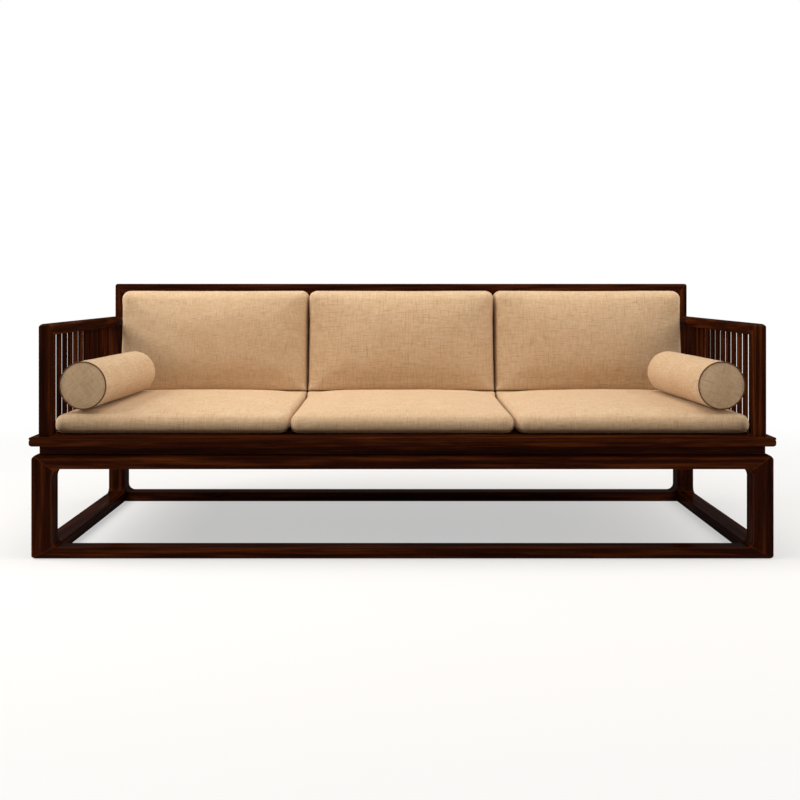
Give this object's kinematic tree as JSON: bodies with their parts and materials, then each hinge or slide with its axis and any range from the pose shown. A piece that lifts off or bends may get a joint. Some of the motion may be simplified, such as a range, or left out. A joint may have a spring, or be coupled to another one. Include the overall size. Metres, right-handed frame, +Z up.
{
  "type": "daybed sofa",
  "caption": "Long hardwood daybed sofa on an open stand, with spindle arms and back, loose linen seat and back cushions, and round bolsters along the arms.",
  "frame": {"origin": "middle of the floor plan, on the floor", "axes": "+X along the sofa to the right of the picture, +Y to the back, +Z up; the front faces -Y"},
  "size_m": [2.2, 0.9, 0.815],
  "materials": {
    "stained_hardwood": "satin",
    "slub_linen": "woven slub linen",
    "foam_filling": "plain",
    "brown_piping": "woven"
  },
  "bodies": {
    "frame": {"leg_front_left": "stained_hardwood", "leg_front_right": "stained_hardwood", "leg_rear_left": "stained_hardwood", "leg_rear_right": "stained_hardwood", "floor_rail_front": "stained_hardwood", "floor_rail_rear": "stained_hardwood", "floor_rail_left": "stained_hardwood", "floor_rail_right": "stained_hardwood", "apron_front": "stained_hardwood", "apron_rear": "stained_hardwood", "apron_left": "stained_hardwood", "apron_right": "stained_hardwood", "waist_front": "stained_hardwood", "waist_rear": "stained_hardwood", "waist_left": "stained_hardwood", "waist_right": "stained_hardwood", "seat_rail_front": "stained_hardwood", "seat_rail_rear": "stained_hardwood", "seat_rail_left": "stained_hardwood", "seat_rail_right": "stained_hardwood", "seat_batten_left": "stained_hardwood", "seat_batten_middle": "stained_hardwood", "seat_batten_right": "stained_hardwood", "seat_slats": "stained_hardwood", "arm_post_left": "stained_hardwood", "arm_rail_left": "stained_hardwood", "arm_spindles_left": "stained_hardwood", "arm_post_right": "stained_hardwood", "arm_rail_right": "stained_hardwood", "arm_spindles_right": "stained_hardwood", "back_post_left": "stained_hardwood", "back_post_right": "stained_hardwood", "back_rail": "stained_hardwood", "back_spindles": "stained_hardwood"},
    "seat_left": {"seat_cushion_left": "slub_linen", "seat_foam_left": "foam_filling"},
    "back_left": {"back_cushion_left": "slub_linen", "back_foam_left": "foam_filling"},
    "seat_middle": {"seat_cushion_middle": "slub_linen", "seat_foam_middle": "foam_filling"},
    "back_middle": {"back_cushion_middle": "slub_linen", "back_foam_middle": "foam_filling"},
    "seat_right": {"seat_cushion_right": "slub_linen", "seat_foam_right": "foam_filling"},
    "back_right": {"back_cushion_right": "slub_linen", "back_foam_right": "foam_filling"},
    "bolster_left": {"bolster_left": "slub_linen", "bolster_core_left": "foam_filling", "bolster_piping_left": "brown_piping"},
    "bolster_right": {"bolster_right": "slub_linen", "bolster_core_right": "foam_filling", "bolster_piping_right": "brown_piping"}
  },
  "joints": [
    {"name": "lift_seat_left", "type": "slide", "parent": "frame", "child": "seat_left", "axis": [0, 0, 1], "range_m": [0, 0.42]},
    {"name": "lift_back_left", "type": "slide", "parent": "seat_left", "child": "back_left", "axis": [0, 0, 1], "range_m": [0, 0.42]},
    {"name": "lift_seat_middle", "type": "slide", "parent": "frame", "child": "seat_middle", "axis": [0, 0, 1], "range_m": [0, 0.42]},
    {"name": "lift_back_middle", "type": "slide", "parent": "seat_middle", "child": "back_middle", "axis": [0, 0, 1], "range_m": [0, 0.42]},
    {"name": "lift_seat_right", "type": "slide", "parent": "frame", "child": "seat_right", "axis": [0, 0, 1], "range_m": [0, 0.42]},
    {"name": "lift_back_right", "type": "slide", "parent": "seat_right", "child": "back_right", "axis": [0, 0, 1], "range_m": [0, 0.42]},
    {"name": "lift_bolster_left", "type": "slide", "parent": "seat_left", "child": "bolster_left", "axis": [0, 0, 1], "range_m": [0, 0.32]},
    {"name": "lift_bolster_right", "type": "slide", "parent": "seat_right", "child": "bolster_right", "axis": [0, 0, 1], "range_m": [0, 0.32]}
  ]
}
